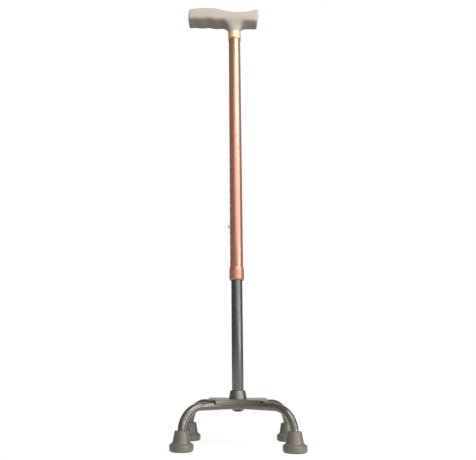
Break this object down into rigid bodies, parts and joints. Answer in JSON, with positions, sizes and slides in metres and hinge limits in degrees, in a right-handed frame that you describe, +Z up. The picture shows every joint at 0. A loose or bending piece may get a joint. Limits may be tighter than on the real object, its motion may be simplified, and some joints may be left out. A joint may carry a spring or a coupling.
{
  "type": "quad cane",
  "caption": "Height-adjustable walking cane with a T handle, a telescoping shaft with snap button and lock nut, and a low spread base of bent tubes on rubber feet.",
  "frame": {"origin": "on the floor, on the axis of the shaft, in the middle of the four feet", "axes": "+Z up along the shaft, -X along the long side of the handle, -Y towards the side that the picture shows"},
  "size_m": [0.202, 0.1692, 0.8036],
  "materials": {
    "handle_plastic": "satin moulded beige grey plastic",
    "gold_plate": "polished gold plated",
    "copper_anodised": "glossy copper coloured anodising",
    "gunmetal_anodised": "satin dark grey anodising",
    "grey_paint": "glossy olive grey metallic paint",
    "grey_rubber": "satin grey rubber",
    "zinc_steel": "zinc plated",
    "spring_steel": "bare spring steel",
    "nylon": "natural nylon"
  },
  "bodies": {
    "base": {"foot_front_left": "grey_rubber", "foot_front_right": "grey_rubber", "foot_rear_left": "grey_rubber", "foot_rear_right": "grey_rubber", "foot_washer_front_left": "zinc_steel", "foot_washer_front_right": "zinc_steel", "foot_washer_rear_left": "zinc_steel", "foot_washer_rear_right": "zinc_steel", "front_leg_tube": "grey_paint", "rear_leg_tube": "grey_paint", "bridge_plate": "grey_paint", "hub_socket": "zinc_steel", "hub_collar": "gunmetal_anodised", "base_washer": "zinc_steel", "base_bolt": "zinc_steel", "plug_nut": "zinc_steel", "tube_plug": "nylon", "lower_tube": "gunmetal_anodised", "glide_cap": "nylon", "button_spring": "spring_steel"},
    "shaft": {"upper_tube": "copper_anodised", "handle_ring": "gold_plate", "handle_grip": "handle_plastic", "handle_screw": "zinc_steel"},
    "button": {"snap_button": "zinc_steel"},
    "lock_ring": {"grip_ring": "nylon"},
    "lock_nut": {"lock_nut": "copper_anodised"}
  },
  "joints": [
    {"name": "height_slide", "type": "slide", "parent": "base", "child": "shaft", "axis": [0, 0, 1], "range_m": [-0.17145, 0.05715]},
    {"name": "button_press", "type": "slide", "parent": "base", "child": "button", "axis": [1, 0, 0], "range_m": [0, 0.005], "stiffness_N_per_m": 1500, "springref_m": -0.003, "deforming": ["button_spring"]},
    {"name": "lock_nut_lift", "type": "slide", "parent": "shaft", "child": "lock_ring", "axis": [0, 0, 1], "range_m": [-0.0015, 0]},
    {"name": "lock_nut_turn", "type": "hinge", "parent": "lock_ring", "child": "lock_nut", "pos_m": [0, 0, 0.264], "axis": [0, 0, 1], "range_deg": [-360, 0]}
  ],
  "couplings": [
    {"joint": "lock_nut_lift", "follows": "lock_nut_turn", "m_per_rad": 0.00023873}
  ]
}
